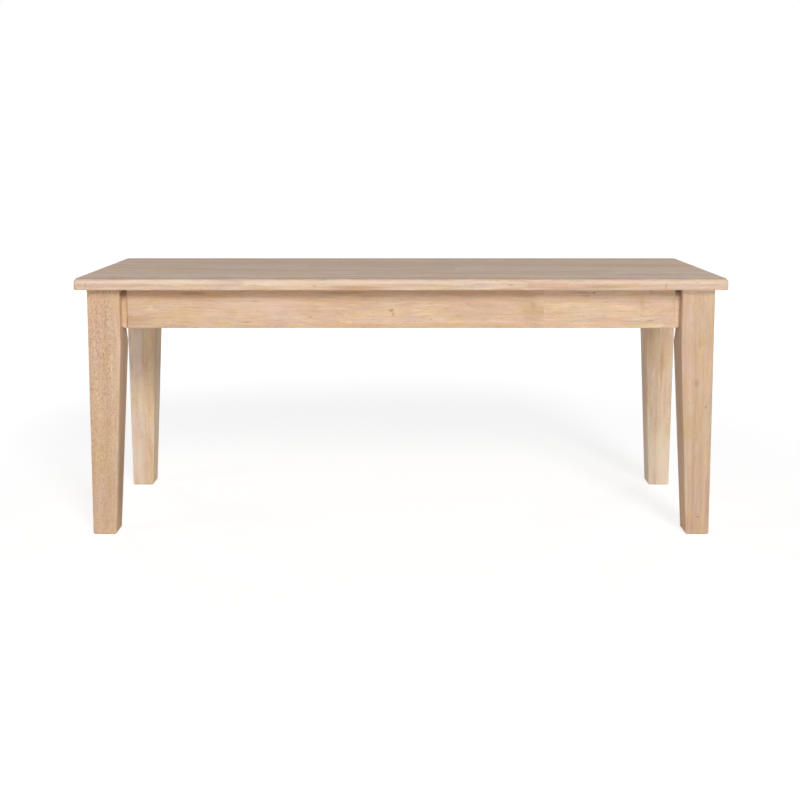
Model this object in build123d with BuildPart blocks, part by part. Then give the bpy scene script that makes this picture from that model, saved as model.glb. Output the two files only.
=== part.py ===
from build123d import *
from math import sqrt
import os

os.makedirs("parts", exist_ok=True)

# Shaker-style bench in solid wood, in millimetres
# +X runs along the bench, +Y to its back, +Z up, origin on the floor under the middle of the seat

# Overall sizes
length = 1136
depth = 380
height = 462
overhang = 19

# Seat, a panel of edge-glued rows, each of finger-jointed lengths
seat_thickness = 21
seat_corner_radius = 9
seat_top_radius = 8
seat_ease = 1.5
row_count = 6

# Where each row's finger joints lie, front row first, as shares of the length from the middle
row_joint_shares = [
    (-0.242, 0.190),
    (-0.075, 0.335),
    (-0.310, 0.085),
    (-0.160, 0.265),
    (-0.355, 0.020),
    (-0.215, 0.180),
]

# Glued joints
glue_line = 0.1
finger_reach = 10
finger_count = 5

# Legs, tapered on their two inner faces and laminated from two layers
leg_width = 57
foot_width = 41
taper_drop = 103
leg_ease = 1.5
foot_bevel = 2

# Flat on each leg's inside corner, cut from the top, that runs out below the aprons
corner_flat = 20
flat_drop = 56
runout_drop = 101

# Aprons, with a stepped tongue at each end
apron_height = 71
apron_thickness = 19
apron_inset = 11
apron_ease = 1.5
tongue_step = 4
tongue_reveal = 10
tongue_entry = 5
tongue_radius = 12
shoulder_radius = 1.5
groove_clearance = 0.2

# Where the finger joint of each long apron lies, as a share of the length from the middle
front_joint_share = 0.217
rear_joint_share = -0.150

# Corner blocks behind the legs
block_thickness = 22
block_height = 55
draw_gap = 0.3

# Cross rail between the long aprons
rail_thickness = 19
rail_height = 45
rail_entry = 5
rail_ease = 1.5

# Hanger bolts, washers and nuts
bolt_diameter = 8
bolt_entry = 34
bolt_point = 5
bolt_bevel = 1
bolt_spare = 6
bolt_clearance = 0.2
washer_diameter = 22
washer_thickness = 1.6
spring_washer_diameter = 14
spring_washer_thickness = 2
spring_washer_slit = 1.5
nut_width = 13
nut_thickness = 6.5

# Wood screws
screw_diameter = 4
head_diameter = 8
head_height = 2.6
screw_point = 3
screw_clearance = 0.1
head_clearance = 1
pilot_spare = 1
block_screw_grip = 10
block_screw_cover = 4
block_screw_pitch = 28
seat_screw_grip = 32
seat_screw_cover = 8
seat_screw_offset = 20
rail_screw_pitch = 150

# How far cutters run past the wood
overrun = 5

# Places that follow from the sizes above
leg_height = height - seat_thickness
leg_x = length / 2 - overhang
leg_y = depth / 2 - overhang
leg_inner_x = leg_x - leg_width
leg_inner_y = leg_y - leg_width
taper_start = leg_height - taper_drop
apron_bottom = leg_height - apron_height
apron_back_x = leg_x - apron_inset - apron_thickness
apron_back_y = leg_y - apron_inset - apron_thickness
block_middle = leg_height - block_height / 2

# Screws reach through their grip and stop short of the far face of the wood by their cover
block_screw_length = block_screw_grip + apron_thickness - block_screw_cover
seat_screw_length = seat_screw_grip + seat_thickness - seat_screw_cover

# Bolt plane on a leg's flat, facing the middle of the bench, with the bolt along its normal
bolt_plane = Plane(
    origin=(leg_inner_x + corner_flat / sqrt(8), leg_inner_y + corner_flat / sqrt(8), block_middle),
    x_dir=(1, -1, 0),
    z_dir=(-1, -1, 0),
)
bolt_reach = (
    draw_gap + block_thickness + washer_thickness + spring_washer_thickness + nut_thickness + bolt_spare
)

# Block plane under the corner block, with X along the block and Y towards the leg
block_center = bolt_plane.offset(draw_gap + block_thickness / 2).origin
block_plane = Plane(
    origin=(block_center.X, block_center.Y, leg_height - block_height),
    x_dir=(1, -1, 0),
    z_dir=(0, 0, 1),
)
block_half_length = (apron_back_x - block_center.X) * sqrt(2)

# Screws stand in pairs, and their heads seat on these planes, which face the screwdriver
block_screw_run = leg_inner_x - block_center.X + block_half_length / sqrt(2)
rear_screw_plane = Plane(
    origin=(leg_inner_x - block_screw_run, apron_back_y - block_screw_grip, block_middle),
    x_dir=(1, 0, 0),
    z_dir=(0, -1, 0),
)
right_screw_plane = Plane(
    origin=(apron_back_x - block_screw_grip, leg_inner_y - block_screw_run, block_middle),
    x_dir=(0, -1, 0),
    z_dir=(-1, 0, 0),
)
seat_screw_plane = Plane(
    origin=(block_center.X, block_center.Y, leg_height - seat_screw_grip),
    x_dir=(1, -1, 0),
    z_dir=(0, 0, -1),
)
rail_screw_plane = Plane(
    origin=(0, 0, leg_height - seat_screw_grip),
    x_dir=(1, 0, 0),
    z_dir=(0, 0, -1),
)
block_screw_pair = [(0, -block_screw_pitch / 2), (0, block_screw_pitch / 2)]
seat_screw_pair = [(-seat_screw_offset, 0), (seat_screw_offset, 0)]
rail_screw_pair = [(0, -rail_screw_pitch / 2), (0, rail_screw_pitch / 2)]
corner_spots = [seat_screw_plane.from_local_coords((x, y, 0)) for x, y in seat_screw_pair]
seat_screw_spots = rail_screw_pair + [
    (side_x * spot.X, side_y * spot.Y)
    for spot in corner_spots
    for side_x in (-1, 1)
    for side_y in (-1, 1)
]


def write(piece, name):
    """Name a finished piece and write it."""
    piece.label = name
    export_step(piece, f"parts/{name}.step")


def to_corner(piece, side_x, side_y):
    """A piece of the rear right corner, mirrored to the corner on the given sides."""
    if side_x < 0:
        piece = mirror(piece, about=Plane.YZ)
    if side_y < 0:
        piece = mirror(piece, about=Plane.XZ)
    return piece


def at_corners(piece):
    """A piece of the rear right corner, repeated at all four corners."""
    with BuildPart() as group:
        add(piece)
        mirror(about=Plane.YZ)
        mirror(about=Plane.XZ)
    return group.part


def finger_line(station, low, thickness):
    """Points of a finger joint at a station along a board, from one face to the other."""
    step = thickness / (2 * finger_count)
    tips = [
        (station + finger_reach / 2 * (-1) ** index, low + step * index)
        for index in range(2 * finger_count + 1)
    ]
    start = (tips[0][0], low - overrun)
    end = (tips[-1][0], low + thickness + overrun)
    return [start] + tips + [end]


def board_lengths(stations, low, thickness):
    """Outlines of the lengths that finger joints at the stations divide a board into."""
    end_x = length / 2 + overrun
    near_end = [(-end_x, low - overrun), (-end_x, low + thickness + overrun)]
    far_end = [(end_x, low - overrun), (end_x, low + thickness + overrun)]
    starts = [near_end] + [finger_line(x + glue_line / 2, low, thickness) for x in stations]
    ends = [finger_line(x - glue_line / 2, low, thickness) for x in stations] + [far_end]
    return [start + end[::-1] for start, end in zip(starts, ends)]


def screw_holes(plane, pair, screw_length, head_depth):
    """The space of a pair of screws, whose heads seat on the plane."""
    with BuildPart() as holes:
        with BuildSketch(plane):
            with Locations(*pair):
                Circle(screw_diameter / 2 + screw_clearance)
        extrude(amount=-(screw_length + pilot_spare))
        with BuildSketch(plane):
            with Locations(*pair):
                Circle(head_diameter / 2 + head_clearance)
        extrude(amount=head_depth)
    return holes.part


def turned(points):
    """A turned piece on the Z axis, from half of its section."""
    with BuildPart() as piece:
        with BuildSketch(Plane.XZ):
            with BuildLine():
                Polyline(*points, close=True)
            make_face()
        revolve(axis=Axis.Z)
    return piece.part


def wood_screw(screw_length):
    """A pan-head wood screw, with the underside of its head at the origin and its point down."""
    return turned([
        (0, head_height),
        (head_diameter / 2 - head_height / 2, head_height),
        (head_diameter / 2, head_height / 2),
        (head_diameter / 2, 0),
        (screw_diameter / 2, 0),
        (screw_diameter / 2, screw_point - screw_length),
        (0, -screw_length),
    ])


# Seat panel, shaped whole after its rows are glued
with BuildPart() as seat_panel:
    with BuildSketch(Plane.XY.offset(leg_height)):
        RectangleRounded(length, depth, seat_corner_radius)
    extrude(amount=seat_thickness)
    fillet(seat_panel.faces().sort_by(Axis.Z)[-1].edges(), radius=seat_top_radius)
    fillet(seat_panel.faces().sort_by(Axis.Z)[0].edges(), radius=seat_ease)
    with BuildSketch(Plane.XY.offset(leg_height)):
        with Locations(*seat_screw_spots):
            Circle(screw_diameter / 2 + screw_clearance)
    extrude(amount=seat_screw_length - seat_screw_grip + pilot_spare, mode=Mode.SUBTRACT)

# The panel's rows and their lengths
row_edges = [depth * row / row_count - depth / 2 for row in range(1, row_count)]
row_edges = [-depth / 2 - overrun] + row_edges + [depth / 2 + overrun]
for row, shares in enumerate(row_joint_shares):
    row_front = row_edges[row] + glue_line / 2
    row_back = row_edges[row + 1] - glue_line / 2
    stations = [length * share for share in shares]
    outlines = board_lengths(stations, leg_height, seat_thickness)
    for outline, place in zip(outlines, ("left", "middle", "right")):
        with BuildPart() as seat_length:
            add(seat_panel.part)
            with BuildSketch(Plane.XZ.offset(-row_back)):
                with BuildLine():
                    Polyline(*outline, close=True)
                make_face()
            extrude(amount=row_back - row_front, mode=Mode.INTERSECT)
        write(seat_length.part, f"seat_row_{row + 1}_{place}")

# Rear right leg, straight at the top and tapered below on its two inner faces
leg_sections = (
    (0, foot_width - 2 * foot_bevel, foot_bevel),
    (foot_bevel, foot_width, 0),
    (taper_start, leg_width, 0),
    (leg_height, leg_width, 0),
)
with BuildPart() as leg:
    for section_height, section_width, inset in leg_sections:
        with BuildSketch(Plane.XY.offset(section_height)):
            with Locations((leg_x - inset, leg_y - inset)):
                RectangleRounded(
                    section_width, section_width, leg_ease, align=(Align.MAX, Align.MAX)
                )
    loft(ruled=True)

    # Flat on the inside corner, with the cutter's run-out
    with BuildSketch(Plane((leg_inner_x, leg_inner_y, 0), x_dir=(1, 1, 0), z_dir=(1, -1, 0))):
        with BuildLine():
            flat = Line((corner_flat / 2, leg_height), (corner_flat / 2, leg_height - flat_drop))
            runout = TangentArc(flat @ 1, (0, leg_height - runout_drop), tangent=flat % 1)
            Polyline(runout @ 1, (-overrun, leg_height - runout_drop), (-overrun, leg_height), flat @ 0)
        make_face()
    extrude(amount=corner_flat, both=True, mode=Mode.SUBTRACT)

    # Grooves for the tongues of the two aprons
    tongue_thickness = apron_thickness - tongue_step
    for plane, inner, inward in (
        (Plane.XZ.offset(-(apron_back_y + tongue_thickness + groove_clearance)), leg_inner_x, 1),
        (Plane.YZ.offset(apron_back_x + tongue_thickness + groove_clearance), leg_inner_y, -1),
    ):
        with BuildSketch(plane) as groove:
            with Locations((inner + tongue_entry + groove_clearance, apron_bottom - groove_clearance)):
                Rectangle(
                    tongue_radius + groove_clearance + overrun,
                    apron_height + groove_clearance,
                    align=(Align.MAX, Align.MIN),
                )
            corner = groove.vertices().group_by(Axis.Y)[0].sort_by(Axis.X)[-1]
            fillet(corner, radius=tongue_radius + groove_clearance)
        extrude(amount=inward * (tongue_thickness + 2 * groove_clearance), mode=Mode.SUBTRACT)

    # Bore for the hanger bolt
    with BuildSketch(bolt_plane):
        Circle(bolt_diameter / 2 + bolt_clearance)
    extrude(amount=-(bolt_entry + bolt_clearance), mode=Mode.SUBTRACT)

# The leg's two layers
glue_x = leg_x - leg_width / 2
with BuildPart() as outer_layer:
    add(leg.part)
    split(bisect_by=Plane.YZ.offset(glue_x + glue_line / 2), keep=Keep.TOP)
with BuildPart() as inner_layer:
    add(leg.part)
    split(bisect_by=Plane.YZ.offset(glue_x - glue_line / 2), keep=Keep.BOTTOM)

# Rear right corner block
with BuildPart() as corner_block:
    with BuildSketch(block_plane):
        with BuildLine():
            Polyline(
                (block_half_length - block_thickness / 2, block_thickness / 2),
                (block_half_length + block_thickness / 2, -block_thickness / 2),
                (-block_half_length - block_thickness / 2, -block_thickness / 2),
                (-block_half_length + block_thickness / 2, block_thickness / 2),
                close=True,
            )
        make_face()
    extrude(amount=block_height)
    with BuildSketch(bolt_plane):
        Circle(bolt_diameter / 2 + bolt_clearance)
    extrude(amount=bolt_reach, mode=Mode.SUBTRACT)
    for plane in (rear_screw_plane, right_screw_plane):
        holes = screw_holes(plane, block_screw_pair, block_screw_length, block_thickness)
        add(holes, mode=Mode.SUBTRACT)
    holes = screw_holes(seat_screw_plane, seat_screw_pair, seat_screw_length, block_height)
    add(holes, mode=Mode.SUBTRACT)

# The four legs and their blocks
for side_y, row_name in ((-1, "front"), (1, "rear")):
    for side_x, side_name in ((-1, "left"), (1, "right")):
        write(to_corner(outer_layer.part, side_x, side_y), f"{row_name}_{side_name}_leg_outer_layer")
        write(to_corner(inner_layer.part, side_x, side_y), f"{row_name}_{side_name}_leg_inner_layer")
        write(to_corner(corner_block.part, side_x, side_y), f"{row_name}_{side_name}_corner_block")


def apron(inner_span):
    """An apron along X with its outer face on Y = 0, for legs this far from its middle."""
    shoulder_x = inner_span - tongue_reveal
    with BuildPart() as board:
        with BuildSketch(Plane.XZ) as face:
            with Locations((0, apron_bottom)):
                Rectangle(inner_span + tongue_entry, apron_height, align=(Align.MIN, Align.MIN))
            corner = face.vertices().group_by(Axis.Y)[0].sort_by(Axis.X)[-1]
            fillet(corner, radius=tongue_radius)
        extrude(amount=apron_thickness)
        with BuildSketch(Plane.XY.offset(apron_bottom)):
            with Locations((shoulder_x, 0)):
                Rectangle(
                    tongue_reveal + tongue_entry, tongue_step, align=(Align.MIN, Align.MAX)
                )
        extrude(amount=apron_height, mode=Mode.SUBTRACT)
        front_edges = board.faces().sort_by(Axis.Y)[-1].edges()
        fillet(front_edges.filter_by(Axis.Z).sort_by(Axis.X)[-1], radius=shoulder_radius)
        lower_edges = board.edges().filter_by(Axis.X).group_by(Axis.Z)[0]
        fillet(lower_edges.group_by(Axis.Y)[-1], radius=apron_ease)
        with BuildSketch(Plane.XZ.offset(apron_thickness)):
            with Locations((inner_span - block_screw_run, block_middle)):
                with Locations(*block_screw_pair):
                    Circle(screw_diameter / 2 + screw_clearance)
        extrude(amount=block_screw_grip - block_screw_length - pilot_spare, mode=Mode.SUBTRACT)
        mirror(about=Plane.YZ)
    return board.part


# Left and right aprons
with BuildPart() as right_apron:
    with Locations(Location((leg_x - apron_inset, 0, 0), (0, 0, -90))):
        add(apron(leg_inner_y))
with BuildPart() as left_apron:
    mirror(right_apron.part, about=Plane.YZ)
write(right_apron.part, "right_apron")
write(left_apron.part, "left_apron")

# Rear apron, with a groove for the cross rail, and the front apron, its mirror image
with BuildPart() as rear_apron:
    with Locations((0, leg_y - apron_inset, 0)):
        add(apron(leg_inner_x))
    with BuildSketch(Plane.XY.offset(leg_height)):
        with Locations((0, apron_back_y - overrun)):
            Rectangle(
                rail_thickness + 2 * groove_clearance,
                overrun + rail_entry + groove_clearance,
                align=(Align.CENTER, Align.MIN),
            )
    extrude(amount=-(rail_height + groove_clearance), mode=Mode.SUBTRACT)
with BuildPart() as front_apron:
    mirror(rear_apron.part, about=Plane.XZ)

# The two lengths of each long apron
for apron_part, low, share, row_name in (
    (front_apron.part, apron_inset - leg_y, front_joint_share, "front"),
    (rear_apron.part, apron_back_y, rear_joint_share, "rear"),
):
    outlines = board_lengths([length * share], low, apron_thickness)
    for outline, side_name in zip(outlines, ("left", "right")):
        with BuildPart() as apron_length:
            add(apron_part)
            with BuildSketch(Plane.XY.offset(apron_bottom - overrun)):
                with BuildLine():
                    Polyline(*outline, close=True)
                make_face()
            extrude(amount=apron_height + 2 * overrun, mode=Mode.INTERSECT)
        write(apron_length.part, f"{row_name}_apron_{side_name}")

# Cross rail
with BuildPart() as cross_rail:
    with BuildSketch(Plane.XY.offset(leg_height)):
        Rectangle(rail_thickness, 2 * (apron_back_y + rail_entry))
    extrude(amount=-rail_height)
    fillet(cross_rail.edges().filter_by(Axis.Y).group_by(Axis.Z)[0], radius=rail_ease)
    holes = screw_holes(rail_screw_plane, rail_screw_pair, seat_screw_length, rail_height)
    add(holes, mode=Mode.SUBTRACT)
cross_rail.part.label = "cross_rail"
export_step(cross_rail.part, "parts/cross_rail.step")

# Hanger bolts
with BuildPart() as bolt:
    with Locations(bolt_plane):
        add(turned([
            (0, -bolt_entry),
            (bolt_diameter / 2, bolt_point - bolt_entry),
            (bolt_diameter / 2, bolt_reach - bolt_bevel),
            (bolt_diameter / 2 - bolt_bevel, bolt_reach),
            (0, bolt_reach),
        ]))
write(at_corners(bolt.part), "hanger_bolts")

# Flat washers
washer_plane = bolt_plane.offset(draw_gap + block_thickness)
with BuildPart() as washer:
    with BuildSketch(washer_plane):
        Circle(washer_diameter / 2)
        Circle(bolt_diameter / 2 + bolt_clearance, mode=Mode.SUBTRACT)
    extrude(amount=washer_thickness)
write(at_corners(washer.part), "flat_washers")

# Spring washers, split at the top
spring_washer_plane = washer_plane.offset(washer_thickness)
with BuildPart() as spring_washer:
    with BuildSketch(spring_washer_plane):
        Circle(spring_washer_diameter / 2)
        Circle(bolt_diameter / 2 + bolt_clearance, mode=Mode.SUBTRACT)
        Rectangle(
            spring_washer_slit,
            spring_washer_diameter,
            align=(Align.CENTER, Align.MIN),
            mode=Mode.SUBTRACT,
        )
    extrude(amount=spring_washer_thickness)
write(at_corners(spring_washer.part), "spring_washers")

# Hex nuts
nut_plane = spring_washer_plane.offset(spring_washer_thickness)
with BuildPart() as nut:
    with BuildSketch(nut_plane):
        RegularPolygon(nut_width / 2, 6, major_radius=False)
        Circle(bolt_diameter / 2 + bolt_clearance, mode=Mode.SUBTRACT)
    extrude(amount=nut_thickness)
write(at_corners(nut.part), "hex_nuts")

# Screws that hold the blocks to the aprons
with BuildPart() as corner_screws:
    for plane in (rear_screw_plane, right_screw_plane):
        with Locations(plane):
            with Locations(*block_screw_pair):
                add(wood_screw(block_screw_length))
write(at_corners(corner_screws.part), "block_screws")

# Screws that hold the seat
with BuildPart() as corner_seat_screws:
    with Locations(seat_screw_plane):
        with Locations(*seat_screw_pair):
            add(wood_screw(seat_screw_length))
with BuildPart() as seat_screws:
    add(at_corners(corner_seat_screws.part))
    with Locations(rail_screw_plane):
        with Locations(*rail_screw_pair):
            add(wood_screw(seat_screw_length))
seat_screws.part.label = "seat_screws"
export_step(seat_screws.part, "parts/seat_screws.step")
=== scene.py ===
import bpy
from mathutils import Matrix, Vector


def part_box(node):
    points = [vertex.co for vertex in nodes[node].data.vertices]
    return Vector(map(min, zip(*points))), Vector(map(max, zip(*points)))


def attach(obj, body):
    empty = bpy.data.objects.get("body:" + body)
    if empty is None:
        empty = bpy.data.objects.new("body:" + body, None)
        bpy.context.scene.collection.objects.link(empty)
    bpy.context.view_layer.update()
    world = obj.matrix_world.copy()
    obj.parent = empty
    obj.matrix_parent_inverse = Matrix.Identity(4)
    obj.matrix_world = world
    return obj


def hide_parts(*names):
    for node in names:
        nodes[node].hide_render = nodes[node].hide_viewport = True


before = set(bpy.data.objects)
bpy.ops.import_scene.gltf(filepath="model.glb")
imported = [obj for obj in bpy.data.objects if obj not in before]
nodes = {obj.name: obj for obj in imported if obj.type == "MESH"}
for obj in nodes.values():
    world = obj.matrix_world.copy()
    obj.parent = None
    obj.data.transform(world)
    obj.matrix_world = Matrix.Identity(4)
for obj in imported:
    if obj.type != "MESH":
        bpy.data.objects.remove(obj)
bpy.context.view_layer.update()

import math

import bpy
from mathutils import Euler, Vector

scene = bpy.context.scene

# Camera, where the outlines of the bench in the picture put it. The picture's own measures are in pixels,
# the camera's place is in metres and its tilt in degrees.
picture = 800
focal_pixels = 1120
axis_row = 268
axis_column = 401
camera_distance = 2.112
camera_height = 0.676
camera_tilt = 5.83
camera = bpy.data.objects.new("camera", bpy.data.cameras.new("camera"))
camera.data.sensor_width = 36
camera.data.lens = focal_pixels / picture * camera.data.sensor_width
camera.data.shift_x = (picture / 2 - axis_column) / picture
camera.data.shift_y = (axis_row - picture / 2) / picture
camera.location = (0, -camera_distance, camera_height)
camera.rotation_euler = (math.radians(90 - camera_tilt), 0, 0)
scene.collection.objects.link(camera)
scene.camera = camera
scene.view_settings.view_transform = "Standard"


def linear(shade):
    """A colour written as sRGB hex, as the linear values that a shader takes."""
    parts = [int(shade[i:i + 2], 16) / 255 for i in (1, 3, 5)]
    return [p / 12.92 if p <= 0.04045 else ((p + 0.055) / 1.055) ** 2.4 for p in parts] + [1]


def add_node(tree, kind, settings=None, inputs=None):
    """A new node with its settings, and its inputs set or linked to a node, a socket or a list of these."""
    node = tree.nodes.new(kind)
    for key, value in (settings or {}).items():
        setattr(node, key, value)
    for key, value in (inputs or {}).items():
        sockets = [socket for socket in node.inputs if socket.enabled]
        socket = sockets[key] if isinstance(key, int) else next(s for s in sockets if s.name == key)
        for source in value if isinstance(value, list) else [value]:
            if isinstance(source, bpy.types.Node):
                source = next(output for output in source.outputs if output.enabled)
            if isinstance(source, bpy.types.NodeSocket):
                tree.links.new(source, socket)
            else:
                socket.default_value = linear(source) if socket.type == "RGBA" else source
    return node


# Soft boxes that face the bench: place, width and height in metres, watts, and beam in degrees
soft_boxes = {
    "main_soft_box": ((1.55, -4.9, 2.98), 1.5, 1.35, 172, 180),
    "left_soft_box": ((-3.4, -1.4, 1.0), 1.6, 1.4, 27, 180),
    "right_soft_box": ((2.6, -3.4, 0.6), 1.4, 1.0, 5, 180),
    "low_strip": ((0, -3.6, 0.2), 3.0, 0.3, 1.1, 40),
    "back_left_soft_box": ((-3.2, 3.0, 1.5), 1.6, 1.4, 28, 180),
    "back_right_soft_box": ((3.2, 3.0, 1.5), 1.6, 1.4, 28, 180),
}
lit_point = Vector((0, 0, 0.35))
for name, (place, width, height, watts, beam) in soft_boxes.items():
    light = bpy.data.lights.new(name, "AREA")
    light.shape = "RECTANGLE"
    light.size = width
    light.size_y = height
    light.energy = watts
    light.spread = math.radians(beam)
    box = bpy.data.objects.new(name, light)
    box.location = place
    box.rotation_euler = (lit_point - Vector(place)).to_track_quat("-Z", "Y").to_euler()
    scene.collection.objects.link(box)

# Studio room: dim for the light that falls on the bench, white where the camera, gloss or glass shows it
room_strength = 0.11
scene.world = bpy.data.worlds.new("studio_room")
scene.world.use_nodes = True
tree = scene.world.node_tree
tree.nodes.clear()
ray = add_node(tree, "ShaderNodeLightPath")
shown = add_node(tree, "ShaderNodeMath", {"operation": "MAXIMUM"}, {
    0: ray.outputs["Is Camera Ray"], 1: ray.outputs["Is Glossy Ray"]})
shown = add_node(tree, "ShaderNodeMath", {"operation": "MAXIMUM"}, {
    0: shown, 1: ray.outputs["Is Transmission Ray"]})
dim = add_node(tree, "ShaderNodeBackground", None, {"Color": "#ffffff", "Strength": room_strength})
white = add_node(tree, "ShaderNodeBackground", None, {"Color": "#ffffff", "Strength": 1.0})
room = add_node(tree, "ShaderNodeMixShader", None, {0: shown, 1: dim, 2: white})
add_node(tree, "ShaderNodeOutputWorld", None, {"Surface": room})

# Matt white floor. To the camera it also glows, so that the shadow stays faint, and less so near the bench.
glow_grows_from = 0.7
glow_grows_to = 2.4
glow_near = 0.8
glow_far = 1.0
floor_paint = bpy.data.materials.new("white_studio_floor")
floor_paint.use_nodes = True
tree = floor_paint.node_tree
tree.nodes.clear()
ray = add_node(tree, "ShaderNodeLightPath")
matt = add_node(tree, "ShaderNodeBsdfDiffuse", None, {"Color": "#f2f2f2"})
shadowed = add_node(tree, "ShaderNodeBsdfDiffuse", None, {"Color": "#a6a6a6"})
spot = add_node(tree, "ShaderNodeTexCoord")
away = add_node(tree, "ShaderNodeVectorMath", {"operation": "LENGTH"}, {0: spot.outputs["Object"]})
strength = add_node(tree, "ShaderNodeMapRange", {"interpolation_type": "SMOOTHSTEP"}, {
    "Value": away.outputs["Value"], "From Min": glow_grows_from, "From Max": glow_grows_to,
    "To Min": glow_near, "To Max": glow_far})
glow = add_node(tree, "ShaderNodeEmission", None, {"Color": "#ffffff", "Strength": strength})
seen = add_node(tree, "ShaderNodeAddShader", None, {0: shadowed, 1: glow})
paint = add_node(tree, "ShaderNodeMixShader", None, {0: ray.outputs["Is Camera Ray"], 1: matt, 2: seen})
add_node(tree, "ShaderNodeOutputMaterial", None, {"Surface": paint})

# The floor lies a hair under the feet, so that the two don't share a plane
floor_height = -0.0003
floor_reach = 30
floor_corners = [(x * floor_reach, y * floor_reach, floor_height)
                 for x, y in ((-1, -1), (1, -1), (1, 1), (-1, 1))]
floor_mesh = bpy.data.meshes.new("floor")
floor_mesh.from_pydata(floor_corners, [], [(0, 1, 2, 3)])
floor_mesh.materials.append(floor_paint)
floor = bpy.data.objects.new("floor", floor_mesh)
scene.collection.objects.link(floor)


def new_group(name, inputs, outputs, kind="ShaderNodeTree"):
    """A node group with its sockets, and its input and output nodes."""
    group = bpy.data.node_groups.new(name, kind)
    for in_out, sockets in (("INPUT", inputs), ("OUTPUT", outputs)):
        for socket_name, socket_kind in sockets.items():
            group.interface.new_socket(socket_name, in_out=in_out, socket_type="NodeSocket" + socket_kind)
    return group, group.nodes.new("NodeGroupInput"), group.nodes.new("NodeGroupOutput")


# Rubberwood, planed, sanded and left bare: straw and pink tones in soft bands along the grain, short brown
# pore lines, duller end grain. Place and every reach are in millimetres, with X along the grain.
wood, given, result = new_group(
    "bare_rubberwood",
    {"Place": "Vector", "Heart": "Vector", "Ring width": "Float", "Figure": "Float", "Flecks": "Float",
     "End": "Float", "Light": "Color", "Dark": "Color"},
    {"Colour": "Color", "Roughness": "Float", "Normal": "Vector"},
)

# The grain wanders sideways, and this is how far and over what reach
wander_by = (0, 22, 22)
wander_reach = (190, 48, 48)
slow = add_node(wood, "ShaderNodeVectorMath", {"operation": "DIVIDE"}, {
    0: given.outputs["Place"], 1: wander_reach})
slow = add_node(wood, "ShaderNodeTexNoise", None, {"Vector": slow, "Scale": 1, "Detail": 1})
wander = add_node(wood, "ShaderNodeVectorMath", {"operation": "MULTIPLY_ADD"}, {
    0: slow.outputs["Color"], 1: wander_by, 2: given.outputs["Place"]})

# Each layer's reach along and across the grain, its detail, and the part of its range that is used.
# The pores are 0.3 mm wide and the fibres finer on the real wood, and both are drawn coarser to show.
layers = {
    "pink": ((80, 24, 24), 1, 0.36, 0.64),
    "gold": ((60, 19, 19), 1, 0.36, 0.64),
    "cloud": ((48, 9, 9), 2, 0.3, 0.7),
    "streaks": ((120, 3.0, 3.0), 3, 0.3, 0.7),
    "fibres": ((24, 1.5, 1.5), 2, 0.28, 0.72),
    "pores": ((9, 1.2, 1.2), 1, 0.6, 0.74),
    "flecks": ((4.6, 2.0, 2.0), 1, 0.5, 0.66),
}
layer = {}
for name, (reach, detail, low, high) in layers.items():
    stretched = add_node(wood, "ShaderNodeVectorMath", {"operation": "DIVIDE"}, {0: wander, 1: reach})
    noise = add_node(wood, "ShaderNodeTexNoise", None, {
        "Vector": stretched, "Scale": 1, "Detail": detail, "Roughness": 0.55})
    layer[name] = add_node(wood, "ShaderNodeMapRange", None, {
        "Value": noise, "From Min": low, "From Max": high})

# Growth bands, by distance from the heart of the tree. They change slowly along the grain, over this reach.
band_reach = 900
lightest_band = 0.33
darkest_band = 0.67
offset = add_node(wood, "ShaderNodeVectorMath", {"operation": "SUBTRACT"}, {
    0: wander, 1: given.outputs["Heart"]})
across = add_node(wood, "ShaderNodeVectorMath", {"operation": "MULTIPLY"}, {0: offset, 1: (0, 1, 1)})
radius = add_node(wood, "ShaderNodeVectorMath", {"operation": "LENGTH"}, {0: across})
ring = add_node(wood, "ShaderNodeMath", {"operation": "DIVIDE"}, {
    0: radius.outputs["Value"], 1: given.outputs["Ring width"]})
place = add_node(wood, "ShaderNodeSeparateXYZ", None, {0: given.outputs["Place"]})
along = add_node(wood, "ShaderNodeMath", {"operation": "DIVIDE"}, {0: place.outputs["X"], 1: band_reach})
ring_place = add_node(wood, "ShaderNodeCombineXYZ", None, {0: ring, 1: along})
band_noise = add_node(wood, "ShaderNodeTexNoise", {"noise_dimensions": "2D"}, {
    "Vector": ring_place, "Scale": 1, "Detail": 3, "Roughness": 0.6})
bands = add_node(wood, "ShaderNodeMapRange", None, {
    "Value": band_noise, "From Min": lightest_band, "From Max": darkest_band})
colour = add_node(wood, "ShaderNodeMix", {"data_type": "RGBA"}, {
    "Factor": bands, "A": given.outputs["Light"], "B": given.outputs["Dark"]})

# Over the bands lie pink and golden tints, light and shade from three layers, brown pores and flecks,
# and a dulling of the end grain
for name, tint in (("pink", "#fff6fd"), ("gold", "#fefbea")):
    colour = add_node(wood, "ShaderNodeMix", {"data_type": "RGBA", "blend_type": "MULTIPLY"}, {
        "Factor": layer[name], "A": colour, "B": tint})
shading = -0.8
for name, weight in (("cloud", 0.45), ("streaks", 0.6), ("fibres", 0.55)):
    shading = add_node(wood, "ShaderNodeMath", {"operation": "MULTIPLY_ADD"}, {
        0: layer[name], 1: weight, 2: shading})
shaded = add_node(wood, "ShaderNodeMath", {"operation": "MULTIPLY_ADD"}, {
    0: shading, 1: given.outputs["Figure"], 2: 1.0})
colour = add_node(wood, "ShaderNodeVectorMath", {"operation": "SCALE"}, {0: colour, "Scale": shaded})
pore_depth = 0.36
for name, depth, brown in (("pores", pore_depth, "#a87c53"), ("flecks", given.outputs["Flecks"], "#ae7b52")):
    share = add_node(wood, "ShaderNodeMath", {"operation": "MULTIPLY"}, {0: layer[name], 1: depth})
    colour = add_node(wood, "ShaderNodeMix", {"data_type": "RGBA"}, {
        "Factor": share, "A": colour, "B": brown})
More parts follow.
